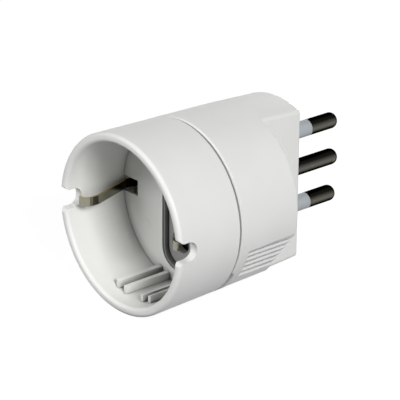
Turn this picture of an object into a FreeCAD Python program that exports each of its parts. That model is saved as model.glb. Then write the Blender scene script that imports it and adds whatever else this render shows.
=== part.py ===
import FreeCAD, Part
import math
import os

# Plug adapter: a round earthed socket recess in front, three round pins in a vertical row behind.
# Frame: X runs along the pins, with the plug face at X = 0, the pins at +X and the socket rim at -X.
# Z runs up along the row of pins. Y runs across, through the two earth clips. All sizes are in mm.

# Socket recess and housing
RECESS_RADIUS = 19.5
RECESS_DEPTH = 17.5
HOUSING_WALL = 2.25
FLOOR_THICKNESS = 2.0
BARREL_LENGTH = 18.1
NOSE_LENGTH = 12.2
NOSE_HALF_WIDTH = 8.2
NOSE_END_WALL = 1.6
SHOULDER_WALL = 2.2
FACE_WALL = 4.0
RIM_ROUND = 0.9
EDGE_ROUND = 0.4
NOSE_EDGE_ROUND = 1.0
FACE_EDGE_ROUND = 0.6

# Draft of the outside: how much the radius shrinks for each mm from the rim to the shoulder, and on the nose
HOUSING_DRAFT = 0.025
NOSE_DRAFT = 0.052

# Seam between the two halves, with the spigot and bead that snap them together
SEAM_SETBACK = 0.7
SEAM_GAP = 0.45
SEAM_DEPTH = 1.05
SEAM_BEVEL = 0.35
SEAM_SLOT_WIDTH = 1.1
SEAM_SLOT_ANGLE = 58.0
SPIGOT_WALL = 1.7
SPIGOT_LENGTH = 2.5
SPIGOT_FIT = 0.1
BEAD_HEIGHT = 0.3
BEAD_WIDTH = 0.8
BEAD_OFFSET = 1.4
BEAD_FIT = 0.1

# Notches in the rim, which let the ends of the earth clips spread
NOTCH_WIDTH = 4.8
NOTCH_DEPTH = 4.8
NOTCH_CORNER = 2.3
NOTCH_FLARE = 0.8

# Guide ribs at the top and the bottom of the recess
RIB_HEIGHT = 1.8
RIB_THICKNESS = 0.9
RIB_SETBACK = 4.3
RIB_INNER_OFFSET = 3.05
RIB_PAIR_PITCH = 2.65

# Grip grooves on the lower sides of the barrel
GRIP_STEPS = 6
GRIP_ANGLE = 37.5
GRIP_HALF_SPAN = 23.5
GRIP_END_MARGIN = 0.5
GRIP_TREAD_SLOPE = 34.5
GRIP_RISER_SLOPE = 12.5
GRIP_START_GAP = 0.8
GRIP_PAD_GAP = 0.3
GRIP_WALL = 1.4

# Plug pins
PIN_RADIUS = 2.0
PIN_LENGTH = 19.0
PIN_PITCH = 9.5
EARTH_PIN_EXTRA = 0.4
PIN_TIP_ROUND = 1.5
PIN_FIT = 0.05
SEAT_RADIUS = 2.4
NECK_RADIUS = 1.55
SLEEVE_LENGTH = 10.0
SLEEVE_FIT = 0.03
COLLAR_RADIUS = 3.0
COLLAR_LENGTH = 1.6
TAIL_RADIUS = 1.4
RIVET_RADIUS = 2.1
RIVET_HEIGHT = 0.6

# Plate and screws that clamp the pin collars on the inside of the plug face
RETAINER_THICKNESS = 2.0
RETAINER_HALF_WIDTH = 5.6
SCREW_EDGE_GAP = 1.25
SCREW_BOSS_RADIUS = 2.6
SCREW_RADIUS = 1.1
SCREW_LENGTH = 5.0
SCREW_HEAD_RADIUS = 2.0
SCREW_HEAD_HEIGHT = 1.2
SCREW_FIT = 0.05

# Socket insert: the recessed plate with the two pin holes
SOCKET_PITCH = 19.0
SOCKET_HOLE_RADIUS = 2.6
SOCKET_HOLE_BEVEL = 0.45
INSERT_HALF_WIDTH = 4.9
INSERT_RECESS = 1.0
INSERT_GAP = 0.1
FRAME_WALL = 0.45
TRENCH_WIDTH = 0.45
TRENCH_DEPTH = 0.9
LIP_WIDTH = 1.1
LIP_HEIGHT = 0.3
FLANGE_MARGIN = 1.2
FLANGE_THICKNESS = 1.2
FLANGE_FIT = 0.15
FLANGE_END_GAP = 0.4

# Safety shutter behind the insert, with its return spring
SHUTTER_THICKNESS = 1.5
SHUTTER_HALF_WIDTH = 3.4
SHUTTER_MARGIN = 0.9
SHUTTER_TRAVEL = 6.0
SHUTTER_RAMP = 1.0
SHUTTER_FIT = 0.15
LUG_LENGTH = 2.4
LUG_WIDTH = 1.4
LUG_HEIGHT = 2.6
SPRING_LENGTH = 11.4
SPRING_SWING = 1.0
SPRING_THICKNESS = 0.25
SPRING_HALF_TURNS = 8

# Contact carrier: the moulded block that holds the shutter and the two contacts
CARRIER_HEAD_DEPTH = 6.8
CARRIER_HEAD_HALF_WIDTH = 11.2
CARRIER_WALL = 0.9
CARRIER_WEB = 1.0
CARRIER_GAP = 0.3
ENTRY_GAP = 0.4
CARRIER_ROUND = 3.0
CHAMBER_HALF_WIDTH = 4.2
CHAMBER_HALF_HEIGHT = 3.7

# Contacts for the two live poles
CONTACT_THICKNESS = 0.6
CONTACT_WIDTH = 5.0
CONTACT_BASE_HALF = 3.2
CONTACT_BASE_DEPTH = 10.4
CONTACT_PINCH = 2.4
CONTACT_FLARE = 3.3
CONTACT_FLARE_LENGTH = 3.2
CLAMP_THICKNESS = 0.4
CLAMP_LENGTH = 3.0
CLAMP_FIT = 0.03
CLAMP_SIDE_GAP = 0.3

# Earth path: the strap behind the carrier and the two spring clips in the recess
STRAP_THICKNESS = 0.8
STRAP_WIDTH = 4.0
STRAP_BEND = 1.2
CLIP_THICKNESS = 0.5
CLIP_WIDTH = 2.2
CLIP_WALL_GAP = 1.5
CLIP_ROOT_DEPTH = 1.6
CLIP_ROOT_FIT = 0.08
CLIP_WINDOW_GAP = 0.85
CLIP_SETBACK = 2.7
CLIP_LEAN = 4.35
CLIP_NOSE = 3.6
CLIP_NOSE_ROUND = 1.8
CLIP_TIP_GAP = 2.0
CLIP_BEND = 1.2
WINDOW_HALF_HEIGHT = 1.95
WINDOW_WIDTH = 5.2
WINDOW_EDGE = 0.8
WINDOW_RELIEF = 1.1

# Sizes that follow from those above
BODY_RADIUS = RECESS_RADIUS + HOUSING_WALL
X_SHOULDER = -NOSE_LENGTH
X_SHOULDER_IN = X_SHOULDER - SHOULDER_WALL
X_SEAM = X_SHOULDER - BARREL_LENGTH
X_FLOOR = X_SEAM - SEAM_SETBACK
X_RIM = X_FLOOR - RECESS_DEPTH
SEAM_RADIUS = BODY_RADIUS - HOUSING_DRAFT * (X_SEAM - X_RIM)
SHOULDER_RADIUS = BODY_RADIUS - HOUSING_DRAFT * (X_SHOULDER - X_RIM)
FACE_RADIUS = SHOULDER_RADIUS - NOSE_DRAFT * NOSE_LENGTH
GRIP_RADIUS = (SEAM_RADIUS + SHOULDER_RADIUS) / 2.0
GRIP_FLAT = GRIP_RADIUS * math.cos(math.radians(GRIP_HALF_SPAN))
GRIP_REACH = GRIP_RADIUS * math.sin(math.radians(GRIP_HALF_SPAN))
GRIP_PITCH = 2 * (GRIP_REACH - GRIP_END_MARGIN) / (GRIP_STEPS + 0.25)
TREAD_RUN = 1.0 / math.tan(math.radians(GRIP_TREAD_SLOPE))
RISER_RUN = 1.0 / math.tan(math.radians(GRIP_RISER_SLOPE))
GRIP_RISE = GRIP_PITCH / (TREAD_RUN + RISER_RUN)
X_FLOOR_BACK = X_FLOOR + FLOOR_THICKNESS
X_FACE_IN = -FACE_WALL
SPIGOT_RADIUS = RECESS_RADIUS - SPIGOT_FIT
X_SPIGOT_END = X_SEAM + SPIGOT_LENGTH
NOSE_CAVITY_HALF = NOSE_HALF_WIDTH - HOUSING_WALL
NOSE_CAVITY_RADIUS = FACE_RADIUS - NOSE_END_WALL
X_INSERT = X_FLOOR + INSERT_RECESS
X_INSERT_BACK = X_FLOOR_BACK + FLANGE_THICKNESS
OPENING_HALF_WIDTH = INSERT_HALF_WIDTH + INSERT_GAP
SPIGOT_INNER = SPIGOT_RADIUS - SPIGOT_WALL
FLANGE_HALF_WIDTH = OPENING_HALF_WIDTH + FLANGE_MARGIN
FLANGE_REACH = SPIGOT_INNER - FLANGE_END_GAP
OPENING_REACH = FLANGE_REACH - FLANGE_MARGIN
INSERT_REACH = OPENING_REACH - INSERT_GAP
SCREW_OFFSET = NOSE_CAVITY_RADIUS - SCREW_EDGE_GAP - SCREW_BOSS_RADIUS
X_SHUTTER = X_INSERT_BACK + SHUTTER_FIT
X_SHUTTER_BACK = X_SHUTTER + SHUTTER_THICKNESS
X_POCKET_BACK = X_SHUTTER_BACK + SHUTTER_FIT
X_WEB_BACK = X_POCKET_BACK + CARRIER_WEB
X_STRAP = X_SHOULDER_IN - STRAP_THICKNESS
X_HEAD_BACK = X_FLOOR_BACK + CARRIER_HEAD_DEPTH
X_COLLAR = X_FACE_IN - COLLAR_LENGTH
X_RETAINER = X_COLLAR - RETAINER_THICKNESS
CONTACT_Z = SOCKET_PITCH / 2.0
CLIP_ROOT_X = X_FLOOR_BACK + CLIP_ROOT_DEPTH
CLIP_ROOT_Y = RECESS_RADIUS - CLIP_WALL_GAP
MARGIN = 1.0
Z_AXIS = FreeCAD.Vector(0, 0, 1)
X_AXIS = FreeCAD.Vector(1, 0, 0)
ORIGIN = FreeCAD.Vector(0, 0, 0)


def point(x, y, z):
    return FreeCAD.Vector(x, y, z)


# Three ways to place a flat outline: radius against X, Y against X, and Z against Y
def in_xr(u, v):
    return point(u, 0, v)


def in_xy(u, v):
    return point(u, v, 0)


def in_yz(u, v):
    return point(0, u, v)


def corner_arc(before, here, after, radius):
    """Start, middle and end of the arc that rounds one corner of an outline."""
    in_x = before[0] - here[0]
    in_y = before[1] - here[1]
    out_x = after[0] - here[0]
    out_y = after[1] - here[1]
    in_length = math.hypot(in_x, in_y)
    out_length = math.hypot(out_x, out_y)
    in_x /= in_length
    in_y /= in_length
    out_x /= out_length
    out_y /= out_length
    half = math.acos(max(-1.0, min(1.0, in_x * out_x + in_y * out_y))) / 2.0
    reach = radius / math.tan(half)
    to_centre = radius / math.sin(half)
    mid_x = in_x + out_x
    mid_y = in_y + out_y
    mid_length = math.hypot(mid_x, mid_y)
    depth = (to_centre - radius) / mid_length
    start = (here[0] + in_x * reach, here[1] + in_y * reach)
    middle = (here[0] + mid_x * depth, here[1] + mid_y * depth)
    end = (here[0] + out_x * reach, here[1] + out_y * reach)
    return start, middle, end


def path_edges(points, radii, place, closed):
    """Lines and arcs through the points, each corner rounded by its own radius."""
    edges = []
    first = None
    last = None
    count = len(points)
    for index in range(count):
        here = points[index]
        at_end = (not closed) and (index == 0 or index == count - 1)
        arc = None
        start = here
        end = here
        if radii[index] > 0 and not at_end:
            after = points[(index + 1) % count]
            start, middle, end = corner_arc(points[index - 1], here, after, radii[index])
            arc = Part.Arc(place(*start), place(*middle), place(*end)).toShape()
        if last is not None and math.dist(last, start) > 1e-6:
            edges.append(Part.LineSegment(place(*last), place(*start)).toShape())
        if arc is not None:
            edges.append(arc)
        if first is None:
            first = start
        last = end
    if closed and math.dist(last, first) > 1e-6:
        edges.append(Part.LineSegment(place(*last), place(*first)).toShape())
    return edges


def outline_face(points, radii, place):
    return Part.Face(Part.Wire(path_edges(points, radii, place, True)))


def revolved(points, radii):
    """Solid of revolution about the X axis from an outline of X against radius."""
    return outline_face(points, radii, in_xr).revolve(ORIGIN, X_AXIS, 360)


def side_points(points, offset):
    """The points moved sideways by an offset, to the left of the path where it is positive."""
    moved = []
    count = len(points)
    for index in range(count):
        normals = []
        for step in (index - 1, index):
            if 0 <= step < count - 1:
                dx = points[step + 1][0] - points[step][0]
                dy = points[step + 1][1] - points[step][1]
                length = math.hypot(dx, dy)
                normals.append((-dy / length, dx / length))
        sum_x = sum(normal[0] for normal in normals)
        sum_y = sum(normal[1] for normal in normals)
        scale = offset * len(normals) / (sum_x * sum_x + sum_y * sum_y)
        moved.append((points[index][0] + sum_x * scale, points[index][1] + sum_y * scale))
    return moved


def turn_signs(points):
    """For each inner point, +1 where the path turns left and -1 where it turns right."""
    signs = [0]
    for index in range(1, len(points) - 1):
        ax = points[index][0] - points[index - 1][0]
        ay = points[index][1] - points[index - 1][1]
        bx = points[index + 1][0] - points[index][0]
        by = points[index + 1][1] - points[index][1]
        signs.append(1 if ax * by - ay * bx > 0 else -1)
    signs.append(0)
    return signs


def strip(points, radii, thickness, place, width_vector):
    """A bent strip: a path with rounded bends, thickened both ways and given a width."""
    half = thickness / 2.0
    signs = turn_signs(points)
    left = side_points(points, half)
    right = side_points(points, -half)
    left_radii = [max(0.0, r - s * half) if r > 0 else 0.0 for r, s in zip(radii, signs)]
    right_radii = [max(0.0, r + s * half) if r > 0 else 0.0 for r, s in zip(radii, signs)]
    right.reverse()
    right_radii.reverse()
    edges = path_edges(left, left_radii, place, False)
    edges.append(Part.LineSegment(place(*left[-1]), place(*right[0])).toShape())
    edges.extend(path_edges(right, right_radii, place, False))
    edges.append(Part.LineSegment(place(*right[-1]), place(*left[0])).toShape())
    face = Part.Face(Part.Wire(edges))
    face.translate(width_vector * -0.5)
    return face.extrude(width_vector)


def block(x_low, x_high, y_low, y_high, z_low, z_high):
    corner = point(x_low, y_low, z_low)
    return Part.makeBox(x_high - x_low, y_high - y_low, z_high - z_low, corner)


def rod(x_low, x_high, radius, z=0.0):
    return Part.makeCylinder(radius, x_high - x_low, point(x_low, 0, z), X_AXIS)


def cone_bore(x_low, x_high, radius_low, radius_high, z):
    return Part.makeCone(radius_low, radius_high, x_high - x_low, point(x_low, 0, z), X_AXIS)


def stadium(x_low, x_high, half_width, reach):
    """Upright plate with round ends: straight sides, and ends as wide as the plate."""
    points = [(half_width, -reach), (half_width, reach), (-half_width, reach), (-half_width, -reach)]
    nearly = half_width * 0.9999
    face = outline_face(points, [nearly] * 4, in_yz)
    face.translate(point(x_low, 0, 0))
    return face.extrude(point(x_high - x_low, 0, 0))


def rounded_plate(x_low, x_high, half_width, half_height, radius):
    points = [
        (half_width, -half_height),
        (half_width, half_height),
        (-half_width, half_height),
        (-half_width, -half_height),
    ]
    face = outline_face(points, [radius] * 4, in_yz)
    face.translate(point(x_low, 0, 0))
    return face.extrude(point(x_high - x_low, 0, 0))


def mirrored(shape):
    """The same piece on the other side of the XZ plane."""
    return shape.mirror(ORIGIN, point(0, 1, 0))


def notch_cutter():
    """Round-ended slot through the wall on the +Y side, flared where it meets the rim."""
    half = NOTCH_WIDTH / 2.0
    end_x = X_RIM + NOTCH_DEPTH
    flare_x = X_RIM + NOTCH_FLARE
    mouth = half + NOTCH_FLARE
    points = [
        (X_RIM - MARGIN, -mouth),
        (X_RIM, -mouth),
        (flare_x, -half),
        (end_x, -half),
        (end_x, half),
        (flare_x, half),
        (X_RIM, mouth),
        (X_RIM - MARGIN, mouth),
    ]
    flare = NOTCH_FLARE * 1.2
    radii = [0, 0, flare, NOTCH_CORNER, NOTCH_CORNER, flare, 0, 0]
    face = outline_face(points, radii, in_xr)
    inner_y = RECESS_RADIUS - MARGIN
    face.translate(point(0, inner_y, 0))
    return face.extrude(point(0, HOUSING_WALL + 2 * MARGIN, 0))


def guide_ribs():
    """Two pairs of thin ribs at the top of the recess and two at the bottom."""
    front = X_RIM + RIB_SETBACK
    ring = rod(front, X_FLOOR, RECESS_RADIUS + HOUSING_WALL / 2.0)
    ring = ring.cut(rod(front, X_FLOOR, RECESS_RADIUS - RIB_HEIGHT))
    reach = BODY_RADIUS
    plates = []
    for side in (-1, 1):
        for index in range(2):
            middle = side * (RIB_INNER_OFFSET + index * RIB_PAIR_PITCH)
            low = middle - RIB_THICKNESS / 2.0
            high = middle + RIB_THICKNESS / 2.0
            plates.append(block(front, X_FLOOR, low, high, -reach, reach))
    return plates[0].multiFuse(plates[1:]).common(ring)


def window_cutter():
    """Slot in the socket floor, beside the wall on the +Y side, for one earth clip."""
    low = RECESS_RADIUS - WINDOW_WIDTH
    high = RECESS_RADIUS
    half = WINDOW_HALF_HEIGHT
    window = block(X_FLOOR - MARGIN, X_FLOOR_BACK + MARGIN, low, high, -half, half)
    wide = half + WINDOW_RELIEF
    relief = block(X_FLOOR + WINDOW_EDGE, X_FLOOR_BACK + MARGIN, low - WINDOW_RELIEF, SPIGOT_INNER, -wide, wide)
    return window.fuse(relief)


def front_shell():
    """Socket cup with its floor, guide ribs, rim notches and the spigot that enters the rear shell."""
    outline = [
        (X_RIM, RECESS_RADIUS),
        (X_RIM, BODY_RADIUS),
        (X_SEAM - SEAM_BEVEL, SEAM_RADIUS),
        (X_SEAM, SEAM_RADIUS - SEAM_BEVEL),
        (X_SEAM, SPIGOT_RADIUS),
        (X_SPIGOT_END - SEAM_BEVEL, SPIGOT_RADIUS),
        (X_SPIGOT_END, SPIGOT_RADIUS - SEAM_BEVEL),
        (X_SPIGOT_END, SPIGOT_INNER),
        (X_FLOOR_BACK, SPIGOT_INNER),
        (X_FLOOR_BACK, 0),
        (X_FLOOR, 0),
        (X_FLOOR, RECESS_RADIUS),
    ]
    radii = [0] * len(outline)
    radii[0] = RIM_ROUND
    radii[1] = RIM_ROUND
    shell = revolved(outline, radii)
    bead_middle = X_SEAM + BEAD_OFFSET
    bead = [
        (bead_middle - BEAD_WIDTH / 2.0, SPIGOT_RADIUS - MARGIN),
        (bead_middle - BEAD_WIDTH / 2.0, SPIGOT_RADIUS),
        (bead_middle, SPIGOT_RADIUS + BEAD_HEIGHT),
        (bead_middle + BEAD_WIDTH / 2.0, SPIGOT_RADIUS),
        (bead_middle + BEAD_WIDTH / 2.0, SPIGOT_RADIUS - MARGIN),
    ]
    shell = shell.fuse(revolved(bead, [0] * len(bead)))
    lip_half = OPENING_HALF_WIDTH + LIP_WIDTH
    lip_reach = OPENING_REACH + LIP_WIDTH
    lip = stadium(X_FLOOR - LIP_HEIGHT, X_FLOOR + LIP_HEIGHT, lip_half, lip_reach)
    shell = shell.fuse([lip, guide_ribs()])
    opening = stadium(X_FLOOR - MARGIN, X_FLOOR_BACK + MARGIN, OPENING_HALF_WIDTH, OPENING_REACH)
    cutters = [opening, window_cutter(), mirrored(window_cutter())]
    cutters.extend([notch_cutter(), mirrored(notch_cutter())])
    gap_half = STRAP_WIDTH / 2.0 + MARGIN
    for side in (-1, 1):
        near = side * (SPIGOT_INNER - MARGIN)
        far = side * (RECESS_RADIUS + BEAD_HEIGHT + MARGIN)
        low = min(near, far)
        high = max(near, far)
        cutters.append(block(X_FLOOR_BACK, X_SPIGOT_END + MARGIN, low, high, -gap_half, gap_half))
    return shell.cut(cutters)


def grip_cutter():
    """Stepped flat on the lower +Y side of the barrel: six treads, each with a riser turned downwards."""
    run = GRIP_RISE * TREAD_RUN
    valley = GRIP_FLAT - GRIP_RISE
    outside = BODY_RADIUS + MARGIN
    top = GRIP_END_MARGIN - GRIP_REACH
    points = [(outside, -top), (valley, -top)]
    for index in range(GRIP_STEPS):
        start = top + index * GRIP_PITCH
        if index > 0:
            points.append((valley, -start))
        points.append((GRIP_FLAT, -start - run))
    points.append((GRIP_FLAT, -GRIP_REACH - MARGIN))
    points.append((outside, -GRIP_REACH - MARGIN))
    face = outline_face(points, [0] * len(points), in_yz)
    start_x = X_SPIGOT_END + GRIP_START_GAP
    face.translate(point(start_x, 0, 0))
    cutter = face.extrude(point(X_SHOULDER + MARGIN - start_x, 0, 0))
    cutter.rotate(ORIGIN, X_AXIS, -GRIP_ANGLE)
    return cutter


def grip_pad():
    """Room kept in the barrel behind the stepped flat on the +Y side, so that the wall stays thick."""
    start_x = X_SPIGOT_END + GRIP_PAD_GAP
    inner = GRIP_FLAT - GRIP_RISE - GRIP_WALL
    reach = BODY_RADIUS
    pad = block(start_x, X_SHOULDER_IN + MARGIN, inner, BODY_RADIUS, -reach, reach)
    pad.rotate(ORIGIN, X_AXIS, -GRIP_ANGLE)
    return pad


def seam_slot():
    """Wider stretch of the seam along the bottom of the barrel, for prising the halves apart."""
    ring = rod(X_SEAM - MARGIN, X_SEAM + SEAM_SLOT_WIDTH, BODY_RADIUS + MARGIN)
    ring = ring.cut(rod(X_SEAM - MARGIN, X_SEAM + SEAM_SLOT_WIDTH, SEAM_RADIUS - SEAM_DEPTH))
    reach = BODY_RADIUS + 2 * MARGIN
    side = reach * math.tan(math.radians(SEAM_SLOT_ANGLE))
    points = [(0, 0), (-side, -reach), (side, -reach)]
    wedge = outline_face(points, [0, 0, 0], in_yz)
    wedge.translate(point(X_SEAM - 2 * MARGIN, 0, 0))
    return ring.common(wedge.extrude(point(SEAM_SLOT_WIDTH + 3 * MARGIN, 0, 0)))


def nose_solid():
    """Flat-sided end of the plug: the drafted outside cut by two upright flats, with rounded edges."""
    start_x = X_SHOULDER - MARGIN
    start_radius = SHOULDER_RADIUS + HOUSING_DRAFT * MARGIN
    outline = [(start_x, 0), (start_x, start_radius), (X_SHOULDER, SHOULDER_RADIUS), (0, FACE_RADIUS), (0, 0)]
    nose = revolved(outline, [0] * len(outline))
    wide = BODY_RADIUS + MARGIN
    nose = nose.common(block(X_SHOULDER - 2 * MARGIN, MARGIN, -NOSE_HALF_WIDTH, NOSE_HALF_WIDTH, -wide, wide))
    long_edges = []
    for edge in nose.Edges:
        box = edge.BoundBox
        if box.XLength > MARGIN / 2.0 and box.YLength < 0.01 and abs(box.YMin) > NOSE_HALF_WIDTH - 0.01:
            long_edges.append(edge)
    nose = nose.makeFillet(NOSE_EDGE_ROUND, long_edges)
    face_edges = []
    for edge in nose.Edges:
        box = edge.BoundBox
        if box.XMin > -0.001 and box.XLength < 0.001:
            face_edges.append(edge)
    return nose.makeFillet(FACE_EDGE_ROUND, face_edges)


def rear_shell():
    """Plug half of the housing: the barrel, the shoulder and the flat-sided nose with the plug face."""
    land = SEAM_RADIUS - SEAM_DEPTH
    barrel = [
        (X_SEAM, 0),
        (X_SEAM, land),
        (X_SEAM + SEAM_GAP, land),
        (X_SEAM + SEAM_GAP, SEAM_RADIUS - SEAM_BEVEL),
        (X_SEAM + SEAM_GAP + SEAM_BEVEL, SEAM_RADIUS),
        (X_SHOULDER, SHOULDER_RADIUS),
        (X_SHOULDER, 0),
    ]
    radii = [0, 0, 0, 0, 0, EDGE_ROUND, 0]
    shell = revolved(barrel, radii).fuse(nose_solid())
    cavity = rod(X_SEAM - MARGIN, X_SHOULDER_IN, RECESS_RADIUS)
    cavity = cavity.cut([grip_pad(), mirrored(grip_pad())])
    nose_cavity = rod(X_SHOULDER_IN - MARGIN, X_FACE_IN, NOSE_CAVITY_RADIUS)
    wide = BODY_RADIUS
    slab = block(X_SHOULDER_IN - MARGIN, X_FACE_IN, -NOSE_CAVITY_HALF, NOSE_CAVITY_HALF, -wide, wide)
    nose_cavity = nose_cavity.common(slab)
    bead_middle = X_SEAM + BEAD_OFFSET
    groove_half = BEAD_WIDTH / 2.0 + BEAD_FIT
    groove_radius = SPIGOT_RADIUS + BEAD_HEIGHT + BEAD_FIT
    groove = [
        (bead_middle - groove_half, RECESS_RADIUS - MARGIN),
        (bead_middle - groove_half, RECESS_RADIUS),
        (bead_middle, groove_radius),
        (bead_middle + groove_half, RECESS_RADIUS),
        (bead_middle + groove_half, RECESS_RADIUS - MARGIN),
    ]
    shell = shell.cut([cavity, nose_cavity, revolved(groove, [0] * len(groove))])
    bosses = []
    collars = []
    for index in (-1, 0, 1):
        collars.append(rod(X_COLLAR - MARGIN, X_FACE_IN, COLLAR_RADIUS + PIN_FIT, index * PIN_PITCH))
    for side in (-1, 1):
        boss = rod(X_COLLAR, X_FACE_IN + MARGIN, SCREW_BOSS_RADIUS, side * SCREW_OFFSET)
        bosses.append(boss.cut(collars))
    shell = shell.fuse(bosses)
    cutters = [grip_cutter(), mirrored(grip_cutter()), seam_slot()]
    for index in (-1, 0, 1):
        cutters.append(rod(X_FACE_IN - MARGIN, MARGIN, SEAT_RADIUS + PIN_FIT, index * PIN_PITCH))
    screw_end = X_RETAINER + SCREW_LENGTH
    for side in (-1, 1):
        height = side * SCREW_OFFSET
        cutters.append(rod(X_COLLAR - MARGIN, screw_end + SCREW_FIT, SCREW_RADIUS + SCREW_FIT, height))
    return shell.cut(cutters)


def live_pin(height):
    """Line or neutral pin: bare in front, necked under its sleeve, with a collar and a riveted tail."""
    base_front = -CONTACT_BASE_DEPTH - CONTACT_THICKNESS
    bevel = RIVET_HEIGHT / 2.0
    outline = [
        (base_front - RIVET_HEIGHT, 0),
        (base_front - RIVET_HEIGHT, RIVET_RADIUS - bevel),
        (base_front - bevel, RIVET_RADIUS),
        (base_front, RIVET_RADIUS),
        (base_front, TAIL_RADIUS),
        (-CONTACT_BASE_DEPTH, TAIL_RADIUS),
        (-CONTACT_BASE_DEPTH, PIN_RADIUS),
        (X_COLLAR, PIN_RADIUS),
        (X_COLLAR, COLLAR_RADIUS),
        (X_FACE_IN, COLLAR_RADIUS),
        (X_FACE_IN, NECK_RADIUS),
        (SLEEVE_LENGTH, NECK_RADIUS),
        (SLEEVE_LENGTH, PIN_RADIUS),
        (PIN_LENGTH, PIN_RADIUS),
        (PIN_LENGTH, 0),
    ]
    radii = [0] * len(outline)
    radii[-2] = PIN_TIP_ROUND
    pin = revolved(outline, radii)
    pin.translate(point(0, 0, height))
    return pin


def earth_pin():
    """Bare earth pin, a little longer than the other two, riveted to the strap."""
    length = PIN_LENGTH + EARTH_PIN_EXTRA
    bevel = RIVET_HEIGHT / 2.0
    outline = [
        (X_STRAP - RIVET_HEIGHT, 0),
        (X_STRAP - RIVET_HEIGHT, RIVET_RADIUS - bevel),
        (X_STRAP - bevel, RIVET_RADIUS),
        (X_STRAP, RIVET_RADIUS),
        (X_STRAP, TAIL_RADIUS),
        (X_SHOULDER_IN, TAIL_RADIUS),
        (X_SHOULDER_IN, PIN_RADIUS),
        (X_COLLAR, PIN_RADIUS),
        (X_COLLAR, COLLAR_RADIUS),
        (X_FACE_IN, COLLAR_RADIUS),
        (X_FACE_IN, SEAT_RADIUS),
        (0, SEAT_RADIUS),
        (0, PIN_RADIUS),
        (length, PIN_RADIUS),
        (length, 0),
    ]
    radii = [0] * len(outline)
    radii[-2] = PIN_TIP_ROUND
    return revolved(outline, radii)


def pin_sleeve(height):
    """Insulating tube round the neck of a live pin, thicker where it sits in the plug face."""
    outer = rod(X_FACE_IN, SLEEVE_LENGTH, PIN_RADIUS, height).fuse(rod(X_FACE_IN, 0, SEAT_RADIUS, height))
    inner = rod(X_FACE_IN - MARGIN, SLEEVE_LENGTH + MARGIN, NECK_RADIUS + SLEEVE_FIT, height)
    return outer.cut(inner)


def pin_retainer():
    """Plate that presses the pin collars against the inside of the plug face."""
    reach = SCREW_OFFSET + SCREW_BOSS_RADIUS
    plate = rounded_plate(X_RETAINER, X_COLLAR, RETAINER_HALF_WIDTH, reach, SCREW_BOSS_RADIUS)
    cutters = []
    for index in (-1, 0, 1):
        cutters.append(rod(X_RETAINER - MARGIN, X_COLLAR + MARGIN, PIN_RADIUS + PIN_FIT, index * PIN_PITCH))
    for side in (-1, 1):
        height = side * SCREW_OFFSET
        cutters.append(rod(X_RETAINER - MARGIN, X_COLLAR + MARGIN, SCREW_RADIUS + SCREW_FIT, height))
    return plate.cut(cutters)


def retainer_screws():
    """Two small screws through the retainer into the bosses of the rear shell."""
    screws = []
    for side in (-1, 1):
        bevel = SCREW_HEAD_HEIGHT / 2.0
        outline = [
            (X_RETAINER - SCREW_HEAD_HEIGHT, 0),
            (X_RETAINER - SCREW_HEAD_HEIGHT, SCREW_HEAD_RADIUS - bevel),
            (X_RETAINER - bevel, SCREW_HEAD_RADIUS),
            (X_RETAINER, SCREW_HEAD_RADIUS),
            (X_RETAINER, SCREW_RADIUS),
            (X_RETAINER + SCREW_LENGTH - SCREW_RADIUS, SCREW_RADIUS),
            (X_RETAINER + SCREW_LENGTH, 0),
        ]
        screw = revolved(outline, [0] * len(outline))
        slot_x = X_RETAINER - SCREW_HEAD_HEIGHT
        slot = block(slot_x - MARGIN, slot_x + 0.5, -0.3, 0.3, -SCREW_HEAD_RADIUS, SCREW_HEAD_RADIUS)
        screw = screw.cut(slot)
        screw.translate(point(0, 0, side * SCREW_OFFSET))
        screws.append(screw)
    return Part.makeCompound(screws)


def socket_insert():
    """Framed plate with the two bevelled pin holes, a trench round it, and a flange behind the socket floor."""
    plate = stadium(X_FLOOR, X_INSERT_BACK, INSERT_HALF_WIDTH, INSERT_REACH)
    plate = plate.fuse(stadium(X_FLOOR_BACK, X_INSERT_BACK, FLANGE_HALF_WIDTH, FLANGE_REACH))
    tray_half = INSERT_HALF_WIDTH - FRAME_WALL
    tray_reach = INSERT_REACH - FRAME_WALL
    trench = stadium(X_FLOOR - MARGIN, X_INSERT + TRENCH_DEPTH, tray_half, tray_reach)
    island_half = tray_half - TRENCH_WIDTH
    island_reach = tray_reach - TRENCH_WIDTH
    island = stadium(X_INSERT, X_INSERT_BACK, island_half, island_reach)
    cutters = [trench.cut(island)]
    for side in (-1, 1):
        height = side * CONTACT_Z
        cutters.append(rod(X_INSERT - MARGIN, X_INSERT_BACK + MARGIN, SOCKET_HOLE_RADIUS, height))
        wide = SOCKET_HOLE_RADIUS + SOCKET_HOLE_BEVEL
        bevel_end = X_INSERT + SOCKET_HOLE_BEVEL
        cutters.append(cone_bore(X_INSERT, bevel_end, wide, SOCKET_HOLE_RADIUS, height))
    return plate.cut(cutters)


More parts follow.
